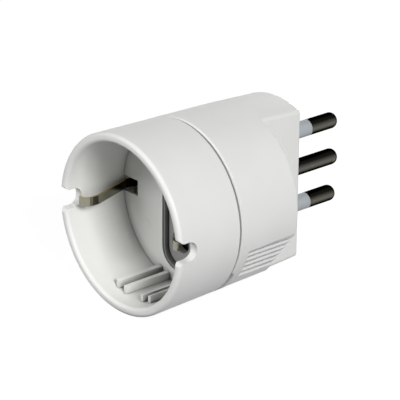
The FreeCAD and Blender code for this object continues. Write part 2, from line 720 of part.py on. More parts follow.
def safety_shutter():
    """Slider behind the insert: two ramped pads, which the plug pins push aside, and a spring lug."""
    reach = CONTACT_Z + SOCKET_HOLE_RADIUS + SHUTTER_MARGIN
    half = SHUTTER_HALF_WIDTH
    slider = rounded_plate(X_SHUTTER, X_SHUTTER_BACK, half, reach, SHUTTER_MARGIN)
    lug_back = X_SHUTTER_BACK + LUG_HEIGHT
    lug = block(X_SHUTTER_BACK - SHUTTER_RAMP / 2.0, lug_back, half - LUG_WIDTH, half, -LUG_LENGTH / 2.0,
                LUG_LENGTH / 2.0)
    slider = slider.fuse(lug)
    pad_half = SOCKET_HOLE_RADIUS + SHUTTER_MARGIN / 3.0
    ramps = []
    for side in (-1, 1):
        points = [
            (X_SHUTTER - MARGIN, -pad_half),
            (X_SHUTTER, -pad_half),
            (X_SHUTTER + SHUTTER_RAMP, half),
            (X_SHUTTER + SHUTTER_RAMP, half + MARGIN),
            (X_SHUTTER - MARGIN, half + MARGIN),
        ]
        ramp = outline_face(points, [0] * len(points), in_xy)
        ramp.translate(point(0, 0, side * CONTACT_Z - pad_half))
        ramps.append(ramp.extrude(point(0, 0, 2 * pad_half)))
    return slider.cut(ramps)


def shutter_spring():
    """Zigzag leaf spring between the carrier and the shutter's lug."""
    end_y = SHUTTER_HALF_WIDTH - LUG_WIDTH
    start_y = end_y - SPRING_LENGTH
    middle_x = X_SHUTTER_BACK + LUG_HEIGHT / 2.0 + SHUTTER_FIT
    swing = SPRING_SWING - SPRING_THICKNESS / 2.0
    half = SPRING_THICKNESS / 2.0
    pitch = (SPRING_LENGTH - SPRING_THICKNESS) / SPRING_HALF_TURNS
    points = [(middle_x - swing, start_y + half)]
    for index in range(SPRING_HALF_TURNS + 1):
        side = 1 if index % 2 == 0 else -1
        points.append((middle_x + side * swing, start_y + half + index * pitch))
    points.append((middle_x - side * swing, end_y - half))
    radii = [0] + [SPRING_THICKNESS] * (len(points) - 2) + [0]
    return strip(points, radii, SPRING_THICKNESS, in_xy, point(0, 0, LUG_LENGTH))


def contact_carrier():
    """Moulded block: a head with the shutter's pocket, and two chambers for the contacts behind it."""
    head_reach = CONTACT_Z + CHAMBER_HALF_HEIGHT + CARRIER_WALL + 0.5
    body_half = CHAMBER_HALF_WIDTH + CARRIER_WALL
    body_reach = CONTACT_Z + CHAMBER_HALF_HEIGHT + CARRIER_WALL
    head_half = CARRIER_HEAD_HALF_WIDTH
    head = rounded_plate(X_FLOOR_BACK, X_HEAD_BACK, head_half, head_reach, CARRIER_ROUND)
    body = rounded_plate(X_HEAD_BACK - MARGIN, X_STRAP, body_half, body_reach, CARRIER_WALL)
    bound = rod(X_FLOOR_BACK - MARGIN, X_STRAP + MARGIN, SPIGOT_INNER - CARRIER_GAP)
    carrier = head.fuse(body).common(bound)
    flange_reach = FLANGE_REACH + FLANGE_FIT
    seat = stadium(X_FLOOR_BACK - MARGIN, X_INSERT_BACK, FLANGE_HALF_WIDTH + FLANGE_FIT, flange_reach)
    reach = CONTACT_Z + SOCKET_HOLE_RADIUS + SHUTTER_MARGIN + SHUTTER_FIT
    open_side = SHUTTER_HALF_WIDTH + SHUTTER_FIT
    far_side = SHUTTER_HALF_WIDTH + SHUTTER_TRAVEL + SHUTTER_FIT
    pocket = block(X_FLOOR_BACK - MARGIN, X_POCKET_BACK, -far_side, open_side, -reach, reach)
    groove_half = LUG_LENGTH / 2.0 + SHUTTER_FIT
    groove_back = X_SHUTTER_BACK + LUG_HEIGHT + SHUTTER_FIT
    spring_end = SHUTTER_HALF_WIDTH - LUG_WIDTH - SPRING_LENGTH
    groove = block(X_POCKET_BACK - MARGIN, groove_back, spring_end, open_side, -groove_half, groove_half)
    cutters = [seat, pocket, groove]
    for side in (-1, 1):
        height = side * CONTACT_Z
        low = height - CHAMBER_HALF_HEIGHT
        high = height + CHAMBER_HALF_HEIGHT
        half = CHAMBER_HALF_WIDTH
        cutters.append(block(X_WEB_BACK, X_STRAP + MARGIN, -half, half, low, high))
        entry = SOCKET_HOLE_RADIUS + ENTRY_GAP
        cutters.append(rod(X_POCKET_BACK - MARGIN, X_WEB_BACK + MARGIN, entry, height))
    cutters.append(rod(X_STRAP - RIVET_HEIGHT - SHUTTER_FIT, X_STRAP + MARGIN, RIVET_RADIUS + SHUTTER_FIT))
    return carrier.cut(cutters)


def contact_mouth():
    """Where the leaves of a contact begin, just behind the carrier's front web."""
    return X_WEB_BACK + SHUTTER_FIT + CONTACT_THICKNESS


def pole_contact(side):
    """Fork of sprung strip: a base riveted to the pin, and two leaves that pinch the plug's pin."""
    base_x = -CONTACT_BASE_DEPTH - CONTACT_THICKNESS / 2.0
    mouth_x = contact_mouth()
    pinch_x = mouth_x + CONTACT_FLARE_LENGTH
    points = [
        (mouth_x, -CONTACT_FLARE),
        (pinch_x, -CONTACT_PINCH),
        (base_x, -CONTACT_BASE_HALF),
        (base_x, CONTACT_BASE_HALF),
        (pinch_x, CONTACT_PINCH),
        (mouth_x, CONTACT_FLARE),
    ]
    bend = CONTACT_THICKNESS
    radii = [0, 2 * bend, bend, bend, 2 * bend, 0]
    fork = strip(points, radii, CONTACT_THICKNESS, in_xy, point(0, 0, CONTACT_WIDTH))
    fork.translate(point(0, 0, side * CONTACT_Z))
    half = CONTACT_THICKNESS / 2.0
    tab_half = CONTACT_BASE_HALF - bend
    tab_low = side * PIN_PITCH - CONTACT_WIDTH / 2.0
    tab = block(base_x - half, base_x + half, -tab_half, tab_half, tab_low, tab_low + CONTACT_WIDTH)
    hole = rod(base_x - MARGIN, base_x + MARGIN, TAIL_RADIUS + PIN_FIT, side * PIN_PITCH)
    return fork.fuse(tab).cut(hole)


def contact_clamp(height):
    """Spring ring round both leaves of one contact, open on one side."""
    start_x = contact_mouth() + CONTACT_FLARE_LENGTH
    base_x = -CONTACT_BASE_DEPTH - CONTACT_THICKNESS / 2.0
    slope = (CONTACT_BASE_HALF - CONTACT_PINCH) / (base_x - start_x)
    leaf_y = CONTACT_PINCH + slope * CLAMP_LENGTH + CONTACT_THICKNESS / 2.0
    half_y = leaf_y + CLAMP_FIT + CLAMP_THICKNESS / 2.0
    half_z = CONTACT_WIDTH / 2.0 + CLAMP_SIDE_GAP + CLAMP_THICKNESS / 2.0
    points = [(-half_y, -half_z), (half_y, -half_z), (half_y, half_z), (-half_y, half_z)]
    points.append((-half_y, -half_z + 3 * CLAMP_THICKNESS))
    bend = 1.5 * CLAMP_THICKNESS
    radii = [0, bend, bend, bend, 0]
    ring = strip(points, radii, CLAMP_THICKNESS, in_yz, point(CLAMP_LENGTH, 0, 0))
    ring.translate(point(start_x + CLAMP_LENGTH / 2.0, 0, height))
    return ring


def earth_strap():
    """U-shaped strap: its web lies on the shoulder wall, and its legs reach forward to the clips."""
    web_x = X_STRAP + STRAP_THICKNESS / 2.0
    leg_end = CLIP_ROOT_X + CLIP_THICKNESS / 2.0 + CLIP_ROOT_FIT
    points = [(leg_end, -CLIP_ROOT_Y), (web_x, -CLIP_ROOT_Y), (web_x, CLIP_ROOT_Y), (leg_end, CLIP_ROOT_Y)]
    radii = [0, STRAP_BEND, STRAP_BEND, 0]
    strap = strip(points, radii, STRAP_THICKNESS, in_xy, point(0, 0, STRAP_WIDTH))
    return strap.cut(rod(X_STRAP - MARGIN, X_SHOULDER_IN + MARGIN, TAIL_RADIUS + PIN_FIT))


def earth_clip():
    """Clip on the +Y side: a leg through the floor that leans inwards, with its end curled to the wall."""
    tip_x = X_RIM + CLIP_SETBACK
    knee_x = tip_x + CLIP_NOSE
    nose_y = RECESS_RADIUS - CLIP_LEAN
    points = [
        (CLIP_ROOT_X, CLIP_ROOT_Y),
        (X_FLOOR, RECESS_RADIUS - CLIP_WINDOW_GAP),
        (knee_x, nose_y),
        (tip_x, nose_y),
        (tip_x, RECESS_RADIUS - CLIP_TIP_GAP),
    ]
    radii = [0, CLIP_BEND, CLIP_BEND, CLIP_NOSE_ROUND, 0]
    clip = strip(points, radii, CLIP_THICKNESS, in_xy, point(0, 0, CLIP_WIDTH))
    base = point(CLIP_ROOT_X, CLIP_ROOT_Y, -CLIP_WIDTH / 2.0)
    return clip.fuse(Part.makeCylinder(CLIP_THICKNESS / 2.0, CLIP_WIDTH, base, Z_AXIS))


def save(shape, name):
    shape = shape.removeSplitter() if shape.ShapeType != "Compound" else shape
    if len(shape.Solids) == 1:
        shape = shape.Solids[0]
    box = shape.BoundBox
    state = "valid" if shape.isValid() else "NOT VALID"
    print(name, state, len(shape.Solids), "solids, volume", round(shape.Volume, 2),
          "x", round(box.XMin, 2), round(box.XMax, 2), "y", round(box.YMin, 2), round(box.YMax, 2),
          "z", round(box.ZMin, 2), round(box.ZMax, 2))
    shape.exportStep(os.path.join("parts", name + ".step"))


def build():
    os.makedirs("parts", exist_ok=True)
    save(front_shell(), "front_shell")
    save(rear_shell(), "rear_shell")
    save(socket_insert(), "socket_insert")
    save(safety_shutter(), "safety_shutter")
    save(shutter_spring(), "shutter_spring")
    save(contact_carrier(), "contact_carrier")
    save(pole_contact(1), "line_contact")
    save(pole_contact(-1), "neutral_contact")
    save(contact_clamp(CONTACT_Z), "line_contact_clamp")
    save(contact_clamp(-CONTACT_Z), "neutral_contact_clamp")
    save(live_pin(PIN_PITCH), "line_pin")
    save(live_pin(-PIN_PITCH), "neutral_pin")
    save(pin_sleeve(PIN_PITCH), "line_pin_sleeve")
    save(pin_sleeve(-PIN_PITCH), "neutral_pin_sleeve")
    save(earth_pin(), "earth_pin")
    save(earth_strap(), "earth_strap")
    save(earth_clip(), "earth_clip_left")
    save(mirrored(earth_clip()), "earth_clip_right")
    save(pin_retainer(), "pin_retainer")
    save(retainer_screws(), "retainer_screws")


build()
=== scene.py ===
import math

import bpy
from bpy.props import FloatProperty, FloatVectorProperty, PointerProperty, StringProperty
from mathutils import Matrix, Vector


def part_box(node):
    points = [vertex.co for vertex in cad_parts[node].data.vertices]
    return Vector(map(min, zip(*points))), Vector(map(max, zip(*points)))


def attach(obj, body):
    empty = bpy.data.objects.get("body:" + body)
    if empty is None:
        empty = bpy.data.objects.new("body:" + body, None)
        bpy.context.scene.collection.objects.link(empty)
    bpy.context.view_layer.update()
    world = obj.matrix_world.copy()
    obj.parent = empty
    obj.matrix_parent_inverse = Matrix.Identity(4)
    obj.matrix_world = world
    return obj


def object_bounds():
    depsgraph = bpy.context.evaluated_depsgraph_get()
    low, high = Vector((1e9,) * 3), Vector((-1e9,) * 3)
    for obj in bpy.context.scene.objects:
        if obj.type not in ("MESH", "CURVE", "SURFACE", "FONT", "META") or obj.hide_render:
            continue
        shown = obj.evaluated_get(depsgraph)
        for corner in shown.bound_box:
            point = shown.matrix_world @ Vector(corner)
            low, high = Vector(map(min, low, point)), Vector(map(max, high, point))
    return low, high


bl_info = {
    "name": "Plug Adapter Looks",
    "version": (1, 0, 0),
    "blender": (4, 5, 0),
    "location": "3D View > Sidebar > Adapter",
    "description": "Finishes and small mould marks of a round plug adapter, with its studio",
    "category": "Object",
}

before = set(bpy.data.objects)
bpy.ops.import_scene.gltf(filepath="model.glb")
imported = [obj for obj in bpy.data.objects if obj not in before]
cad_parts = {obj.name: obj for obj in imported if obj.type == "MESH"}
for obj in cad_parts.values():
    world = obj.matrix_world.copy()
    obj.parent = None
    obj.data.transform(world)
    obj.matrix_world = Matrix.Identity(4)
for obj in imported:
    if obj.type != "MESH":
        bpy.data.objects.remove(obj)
CAD_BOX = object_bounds()
MM = 0.001

# Where the camera stands, found by fitting the object's edges in the photograph
CAMERA_PLACE_MM = (-344.432, -365.757, 203.591)
CAMERA_TURN_DEG = (67.256, -0.412, -41.0473)
CAMERA_LENS_MM = 203.601
CAMERA_SENSOR_MM = 36.0
CAMERA_NEAREST_M = 0.01

# Each lamp's angle round the object (0 faces the near side, -90 the recess), its height angle and
# its width in metres. All lamps stand at one distance and point at the object's middle.
LAMP_PLACES = {
    "key": (-19.0, 31.0, 0.22),
    "fill": (-20.0, 10.0, 0.4),
    "side": (-110.0, 28.0, 0.4),
    "back": (-135.0, 45.0, 0.4),
    "rear": (120.0, 4.0, 0.3),
}
LAMP_DISTANCE_M = 0.9
LAMP_TARGET_MM = (-24, 0, 0)

# The floor's width, and how brightly it glows where the camera or a reflection sees it
FLOOR_WIDTH_M = 6.0
FLOOR_GLOW = 0.93
WHITE = (1, 1, 1, 1)

# Plastic is painted with shade in its hollows and creases. How near other surfaces have to be for
# plastic to count as a hollow or as a crease. Each pair says how open the surroundings are where
# the painted crease shade is full, and where it has gone.
SHADE_HOLLOW_MM = 5.0
SHADE_HOLLOW_OPEN = (0.05, 0.75)
SHADE_CREASE_MM = 0.9
SOFT_CREASE_SHADE_OPEN = (0.58, 0.93)
SHARP_CREASE_SHADE_OPEN = (0.35, 0.7)

# Optics of the plastics
PLASTIC_IOR = 1.53
PLASTIC_SPECULAR = 0.3

# Width of the pale and dark clouds in the plastics
CLOUD_MM = 9.0

# Width of the flecks where plating has worn off, and the noise levels where one starts and fills
FLECK_MM = 0.6
FLECK_LEVELS = (0.65, 0.71)

# Upright faces get a painted highlight band, which fades and ends at these leans, up or down.
HIGHLIGHT_BAND_LEANS = (0.1, 0.62)

# Surfaces of strip that face up or down by more than this are its cut edges
CUT_LEAN = 0.7

# Noise scales along tool and rolling lines, per metre, the spacing of the rolling lines, and the
# depth of both. Real lines are too fine to show, so they are drawn this coarse, and so are the tool
# lines, which are 0.25 mm apart on the pins.
TOOL_LINE_SCALE = 25.0
ROLLING_LINE_SCALE = 60.0
ROLLING_LINE_MM = 0.08
LINE_DEPTH_MM = 0.01

# Places of a Mix node's two colours among its inputs, and of its colour among its outputs
FIRST_COLOUR = 6
SECOND_COLOUR = 7
MIXED_COLOUR = 2

# Samples of the shader nodes that look around themselves
OCCLUSION_SAMPLES = 8
BEVEL_SAMPLES = 4

# An ejector mark: corners of its circle, width and softness of its ring, and how deep its middle
# lies, as a share of the mark's height
MARK_CORNERS = 40
MARK_RING_MM = 0.18
MARK_SLOPE_MM = 0.06
MARK_SINK = 0.75
SAME_PLANE_MM = 0.001
FACES_X = 0.9


def linear(code):
    """sRGB hex, such as "E4E4E0", as linear red, green, blue and alpha."""
    values = []
    for start in (0, 2, 4):
        share = int(code[start:start + 2], 16) / 255.0
        if share <= 0.04045:
            values.append(share / 12.92)
        else:
            values.append(((share + 0.055) / 1.055) ** 2.4)
    return tuple(values) + (1.0,)


def add_node(tree, kind, settings=None, links=None):
    """One shader node with its settings (attribute or socket: value) and links (socket: output)."""
    node = tree.nodes.new(kind)
    for key, value in (settings or {}).items():
        if isinstance(key, str) and hasattr(node, key) and key not in node.inputs:
            setattr(node, key, value)
        else:
            node.inputs[key].default_value = value
    for key, output in (links or {}).items():
        tree.links.new(output, node.inputs[key])
    return node


def empty_material(name):
    """Material with an empty node tree."""
    material = bpy.data.materials.new(name)
    material.use_nodes = True
    material.node_tree.nodes.clear()
    return material, material.node_tree


def new_material(name):
    """Material with its shader and output, and the piece's own coordinates."""
    material, tree = empty_material(name)
    shader = add_node(tree, "ShaderNodeBsdfPrincipled")
    add_node(tree, "ShaderNodeOutputMaterial", None, {"Surface": shader.outputs["BSDF"]})
    place = add_node(tree, "ShaderNodeTexCoord").outputs["Object"]
    return material, tree, shader, place


def lines_across(tree, place, scales, detail):
    """Noise pattern that is stretched into lines by its three scales."""
    stretch = add_node(tree, "ShaderNodeMapping", {"Scale": scales}, {"Vector": place})
    lines = add_node(tree, "ShaderNodeTexNoise", {"Scale": 1.0, "Detail": detail},
                     {"Vector": stretch.outputs["Vector"]})
    return lines.outputs["Fac"]


# Mask for the shade that is painted into plastic's colour in hollows and creases.
def unshaded_share(tree, reach_mm, levels):
    """Share that is 0 in hollows and 1 on free faces, judged from what lies within reach."""
    near = add_node(tree, "ShaderNodeAmbientOcclusion",
                    {"samples": OCCLUSION_SAMPLES, "Distance": reach_mm * MM})
    share = add_node(tree, "ShaderNodeMapRange",
                     {"From Min": levels[0], "From Max": levels[1]},
                     {"Value": near.outputs["AO"]})
    return share.outputs["Result"]


def lean(tree):
    """How far a surface of the piece faces up or down, from 0 to 1."""
    normal = add_node(tree, "ShaderNodeTexCoord").outputs["Normal"]
    split = add_node(tree, "ShaderNodeSeparateXYZ", None, {"Vector": normal})
    node = add_node(tree, "ShaderNodeMath", {"operation": "ABSOLUTE"}, {0: split.outputs["Z"]})
    return node.outputs[0]


def set_surface(tree, shader, pattern, roughness, spread, relief, depth_mm, edge_mm=None):
    """Roughness and relief from one pattern, and softened edges where a radius is given."""
    sheen = add_node(tree, "ShaderNodeMapRange",
                     {"To Min": roughness - spread[0], "To Max": roughness + spread[1]},
                     {"Value": pattern})
    tree.links.new(sheen.outputs["Result"], shader.inputs["Roughness"])
    bump = add_node(tree, "ShaderNodeBump", {"Strength": relief, "Distance": depth_mm * MM},
                    {"Height": pattern})
    if edge_mm is not None:
        soft_edge = add_node(tree, "ShaderNodeBevel",
                             {"samples": BEVEL_SAMPLES, "Radius": edge_mm * MM})
        tree.links.new(soft_edge.outputs["Normal"], bump.inputs["Normal"])
    tree.links.new(bump.outputs["Normal"], shader.inputs["Normal"])


def moulded_plastic(name, light, dark, crease_shade, roughness, grain_mm, grain_depth_mm, edge_mm,
                    crease_shade_open=SOFT_CREASE_SHADE_OPEN):
    """Injection moulded plastic: an eroded mould leaves a fine grain, and the melt a faint cloud.

    The eye sees an even satin colour, with shade painted in deeper in creases and hollows, and
    edges softened by a small radius.
    """
    material, tree, shader, place = new_material(name)
    cloud = add_node(tree, "ShaderNodeTexNoise",
                     {"Scale": 1.0 / (CLOUD_MM * MM), "Detail": 2.0}, {"Vector": place})
    tone = add_node(tree, "ShaderNodeMix",
                    {"data_type": "RGBA", FIRST_COLOUR: linear(dark),
                     SECOND_COLOUR: linear(light)},
                    {"Factor": cloud.outputs["Fac"]})
    # Painted shade: the colour turns to the crease tone in hollows and creases, where little is
    # open round it.
    clear = add_node(tree, "ShaderNodeMath", {"operation": "MULTIPLY"},
                     {0: unshaded_share(tree, SHADE_HOLLOW_MM, SHADE_HOLLOW_OPEN),
                      1: unshaded_share(tree, SHADE_CREASE_MM, crease_shade_open)})
    crease_shaded = add_node(tree, "ShaderNodeMix",
                        {"data_type": "RGBA", FIRST_COLOUR: linear(crease_shade)},
                        {"Factor": clear.outputs[0], SECOND_COLOUR: tone.outputs[MIXED_COLOUR]})
    tree.links.new(crease_shaded.outputs[MIXED_COLOUR], shader.inputs["Base Color"])
    grain = add_node(tree, "ShaderNodeTexNoise",
                     {"Scale": 1.0 / (grain_mm * MM), "Detail": 3.0}, {"Vector": place})
    set_surface(tree, shader, grain.outputs["Fac"], roughness, spread=(0.04, 0.06), relief=0.35,
                depth_mm=grain_depth_mm, edge_mm=edge_mm)
    shader.inputs["IOR"].default_value = PLASTIC_IOR
    shader.inputs["Specular IOR Level"].default_value = PLASTIC_SPECULAR
    return material


def plated_metal(name, light, dark, worn, off_band, rim, roughness, lines_mm, edge_mm):
    """Turned and plated metal: fine tool lines run round it, and flecks of plating have worn off.

    The eye sees fine streaks and a few specks, a paler painted highlight band along the upright
    sides, and the dark off-band tone above and below it. Seen at a slant the metal takes the rim
    tone.
    """
    material, tree, shader, place = new_material(name)
    scales = (1.0 / (lines_mm * MM), TOOL_LINE_SCALE, TOOL_LINE_SCALE)
    lines = lines_across(tree, place, scales, detail=3.0)
    tone = add_node(tree, "ShaderNodeMix",
                    {"data_type": "RGBA", FIRST_COLOUR: linear(dark),
                     SECOND_COLOUR: linear(light)},
                    {"Factor": lines})
    specks = add_node(tree, "ShaderNodeTexNoise",
                      {"Scale": 1.0 / (FLECK_MM * MM), "Detail": 4.0}, {"Vector": place})
    bare = add_node(tree, "ShaderNodeMapRange",
                    {"From Min": FLECK_LEVELS[0], "From Max": FLECK_LEVELS[1]},
                    {"Value": specks.outputs["Fac"]})
    flecked = add_node(tree, "ShaderNodeMix",
                       {"data_type": "RGBA", SECOND_COLOUR: linear(worn)},
                       {"Factor": bare.outputs["Result"],
                        FIRST_COLOUR: tone.outputs[MIXED_COLOUR]})
    # Painted highlight: upright sides keep the paler tone, and surfaces facing up or down turn to
    # the off-band tone.
    off_band_share = add_node(tree, "ShaderNodeMapRange",
                        {"From Min": HIGHLIGHT_BAND_LEANS[0], "From Max": HIGHLIGHT_BAND_LEANS[1]},
                        {"Value": lean(tree)})
    highlight_band = add_node(tree, "ShaderNodeMix",
                      {"data_type": "RGBA", SECOND_COLOUR: linear(off_band)},
                      {"Factor": off_band_share.outputs["Result"],
                       FIRST_COLOUR: flecked.outputs[MIXED_COLOUR]})
    tree.links.new(highlight_band.outputs[MIXED_COLOUR], shader.inputs["Base Color"])
    set_surface(tree, shader, lines, roughness, spread=(0.05, 0.08), relief=0.2,
                depth_mm=LINE_DEPTH_MM, edge_mm=edge_mm)
    shader.inputs["Metallic"].default_value = 1.0
    shader.inputs["Specular Tint"].default_value = linear(rim)
    return material


def rolled_strip(name, face, edge, roughness):
    """Rolled strip: the rolls leave fine lines on its faces, and its edges are freshly cut.

    The eye sees smooth metal faces with faint lines, and thin edges of another tone.
    """
    material, tree, shader, place = new_material(name)
    scales = (ROLLING_LINE_SCALE, ROLLING_LINE_SCALE, 1.0 / (ROLLING_LINE_MM * MM))
    lines = lines_across(tree, place, scales, detail=2.0)
    cut = add_node(tree, "ShaderNodeMath", {"operation": "GREATER_THAN", 1: CUT_LEAN},
                   {0: lean(tree)})
    tone = add_node(tree, "ShaderNodeMix",
                    {"data_type": "RGBA", FIRST_COLOUR: linear(face),
                     SECOND_COLOUR: linear(edge)},
                    {"Factor": cut.outputs[0]})
    tree.links.new(tone.outputs[MIXED_COLOUR], shader.inputs["Base Color"])
    set_surface(tree, shader, lines, roughness, spread=(0.04, 0.08), relief=0.15,
                depth_mm=LINE_DEPTH_MM)
    shader.inputs["Metallic"].default_value = 1.0
    return material


def dress(material, *nodes):
    """Gives CAD nodes their material."""
    for node in nodes:
        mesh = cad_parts[node].data
        mesh.materials.clear()
        mesh.materials.append(material)


def clear_selection():
    """Leaves edit mode and selects nothing, so that the next operator acts on its own piece."""
    if bpy.context.object is not None and bpy.context.object.mode != "OBJECT":
        bpy.ops.object.mode_set(mode="OBJECT")
    bpy.ops.object.select_all(action="DESELECT")


def settle(piece):
    """Puts a piece's place, turn and scale into its mesh."""
    clear_selection()
    piece.select_set(True)
    bpy.context.view_layer.objects.active = piece
    bpy.ops.object.transform_apply(location=True, rotation=True, scale=True)


class AdapterColours(bpy.types.PropertyGroup):
    """Colours of the adapter's plastics and metals, as sRGB hex."""

    housing_light: StringProperty(name="Housing",
                                  description="Lighter tone of the white housing",
                                  default="E9E9E6")
    housing_dark: StringProperty(name="Housing shade",
                                 description="Darker tone of the white housing",
                                 default="E3E4E1")
    # Each crease tone is shade painted into its plastic's hollows and creases.
    housing_crease_shade: StringProperty(name="Housing crease",
                                   description="Tone of the white cup in its creases",
                                   default="7A7C7A")
    barrel_crease_shade: StringProperty(name="Barrel crease",
                                  description="Tone of the white barrel in its creases",
                                  default="CBCCC8")
    insert_light: StringProperty(name="Insert",
                                 description="Lighter tone of the grey socket insert",
                                 default="9C9C9A")
    insert_dark: StringProperty(name="Insert shade",
                                description="Darker tone of the grey socket insert",
                                default="949493")
    insert_crease_shade: StringProperty(name="Insert crease",
                                  description="Tone of the grey insert in its creases",
                                  default="5C5C5B")
    nylon_light: StringProperty(name="Nylon",
                                description="Lighter tone of the black inner parts",
                                default="1E1E1E")
    nylon_dark: StringProperty(name="Nylon shade",
                               description="Darker tone of the black inner parts",
                               default="181818")
    nylon_crease_shade: StringProperty(name="Nylon crease",
                                 description="Tone of the black inner parts in their creases",
                                 default="0C0C0C")
    acetal_light: StringProperty(name="Shutter",
                                 description="Lighter tone of the dark shutter",
                                 default="2E2E2D")
    acetal_dark: StringProperty(name="Shutter shade",
                                description="Darker tone of the dark shutter",
                                default="272726")
    acetal_crease_shade: StringProperty(name="Shutter crease",
                                  description="Tone of the dark shutter in its creases",
                                  default="101010")
    sleeve_light: StringProperty(name="Sleeve",
                                 description="Lighter tone of the pin sleeves",
                                 default="AFB5B9")
    sleeve_dark: StringProperty(name="Sleeve shade",
                                description="Darker tone of the pin sleeves",
                                default="A6ACB0")
    sleeve_crease_shade: StringProperty(name="Sleeve crease",
                                  description="Tone of the pin sleeves in their creases",
                                  default="8C949A")
    # Pin and Pin shade are the tones of a highlight band painted along the pins' upright sides, and
    # the black plating tone lies above and below it.
    pin_band_light: StringProperty(name="Pin",
                              description="Lighter tone of the rubbed sides of the pins",
                              default="6A6861")
    pin_band_dark: StringProperty(name="Pin shade",
                             description="Darker tone of the rubbed sides of the pins",
                             default="5C5A54")
    pin_worn: StringProperty(name="Pin worn",
                             description="Metal that shows where the pins' plating has worn",
                             default="A08E5C")
    pin_off_band: StringProperty(name="Pin kept",
                             description="Black plating above and below the pins' rubbed sides",
                             default="1A1916")
    pin_rim: StringProperty(name="Pin rim",
                            description="Tone of the pins' plating seen at a slant",
                            default="000000")
    clip_face: StringProperty(name="Clip face",
                              description="Plated face of the earth clips",
                              default="928F80")
    clip_edge: StringProperty(name="Clip edge",
                              description="Bare cut edge of the earth clips",
                              default="C9B463")
    brass_face: StringProperty(name="Brass face",
                               description="Face of the brass contacts and strap",
                               default="C9A95C")
    brass_edge: StringProperty(name="Brass edge",
                               description="Cut edge of the brass contacts and strap",
                               default="D2B46A")
    steel_face: StringProperty(name="Steel face",
                               description="Face of the steel springs",
                               default="9C9D9E")
    steel_edge: StringProperty(name="Steel edge",
                               description="Cut edge of the steel springs",
                               default="A8A9AA")
    zinc_light: StringProperty(name="Screw",
                               description="Lighter tone of the zinc-plated screws",
                               default="B0B1B3")
    # The screws' darker tone also stands above and below their painted highlight band.
    zinc_dark_and_band_shade: StringProperty(name="Screw shade",
                              description="Darker tone of the zinc-plated screws",
                              default="9C9DA0")
    zinc_worn: StringProperty(name="Screw worn",
                              description="Tone of the screws where their zinc has worn",
                              default="8E8F90")
    zinc_rim: StringProperty(name="Screw rim",
                             description="Tone of the screws' zinc seen at a slant",
                             default="FFFFFF")


class AdapterStage(bpy.types.PropertyGroup):
    """Light, floor and camera."""

    floor_colour: StringProperty(name="Floor", description="Colour of the floor", default="696C70")
    key_power: FloatProperty(name="Key light",
                             description="Power of the soft light above the camera",
                             default=6.1, min=0.0, unit="POWER")
    fill_power: FloatProperty(name="Fill light",
                              description="Power of the low soft light beside the camera",
                              default=1.7, min=0.0, unit="POWER")
    side_power: FloatProperty(name="Side light",
                              description="Power of the soft light that shines into the recess",
                              default=3.6, min=0.0, unit="POWER")
    back_power: FloatProperty(name="Back light",
                              description="Power of the soft light behind the recess",
                              default=0.7, min=0.0, unit="POWER")
    rear_power: FloatProperty(name="Rear light",
                              description="Power of the low soft light on the pins' side",
                              default=6.0, min=0.0, unit="POWER")
    camera_place: FloatVectorProperty(name="Camera place", description="Where the camera stands",
                                      default=[value * MM for value in CAMERA_PLACE_MM],
                                      subtype="TRANSLATION", unit="LENGTH")
    camera_turn: FloatVectorProperty(name="Camera turn", description="How the camera is turned",
                                     default=[math.radians(value) for value in CAMERA_TURN_DEG],
                                     subtype="EULER", unit="ROTATION")
    camera_lens: FloatProperty(name="Camera lens", description="Focal length",
                               default=CAMERA_LENS_MM, min=1.0, unit="CAMERA")


class MouldMarkSizes(bpy.types.PropertyGroup):
    """Sizes of the round marks that the ejector pins leave on the socket floor."""

    radius: FloatProperty(name="Radius", description="Radius of one ejector mark",
                          default=1.25 * MM, subtype="DISTANCE", unit="LENGTH")
    height: FloatProperty(name="Height", description="How far a mark stands proud of the floor",
                          default=0.03 * MM, subtype="DISTANCE", unit="LENGTH")
    across: FloatProperty(name="Across",
                          description="Distance of a mark from the upright middle plane",
                          default=11.0 * MM, subtype="DISTANCE", unit="LENGTH")
    up: FloatProperty(name="Up", description="Distance of a mark above or below the middle",
                      default=8.0 * MM, subtype="DISTANCE", unit="LENGTH")


class ADAPTER_OT_finish_housing(bpy.types.Operator):
    """White moulded finish of the two housing halves."""

    bl_idname = "adapter.finish_housing"
    bl_label = "Finish housing"

    def execute(self, context):
        colours = context.scene.adapter_colours
        # The housing is a flame-retardant polycarbonate blend with a fine eroded grain. Real
        # grains of 0.05 mm are too fine to show, so they are drawn at 0.35 mm.
        white = {
            "light": colours.housing_light,
            "dark": colours.housing_dark,
            "roughness": 0.42,
            "grain_mm": 0.35,
            "grain_depth_mm": 0.012,
        }
        # The cup is deep, and shade is painted into it, darker towards its floor. The barrel has
        # only shallow creases, where the painted shade stays pale.
        cup = moulded_plastic("moulded_white_polycarbonate", crease_shade=colours.housing_crease_shade,
                              edge_mm=0.1, crease_shade_open=SHARP_CREASE_SHADE_OPEN, **white)
        barrel = moulded_plastic("moulded_white_polycarbonate_barrel",
                                 crease_shade=colours.barrel_crease_shade, edge_mm=0.3, **white)
        dress(cup, "front_shell")
        dress(barrel, "rear_shell")
        return {"FINISHED"}


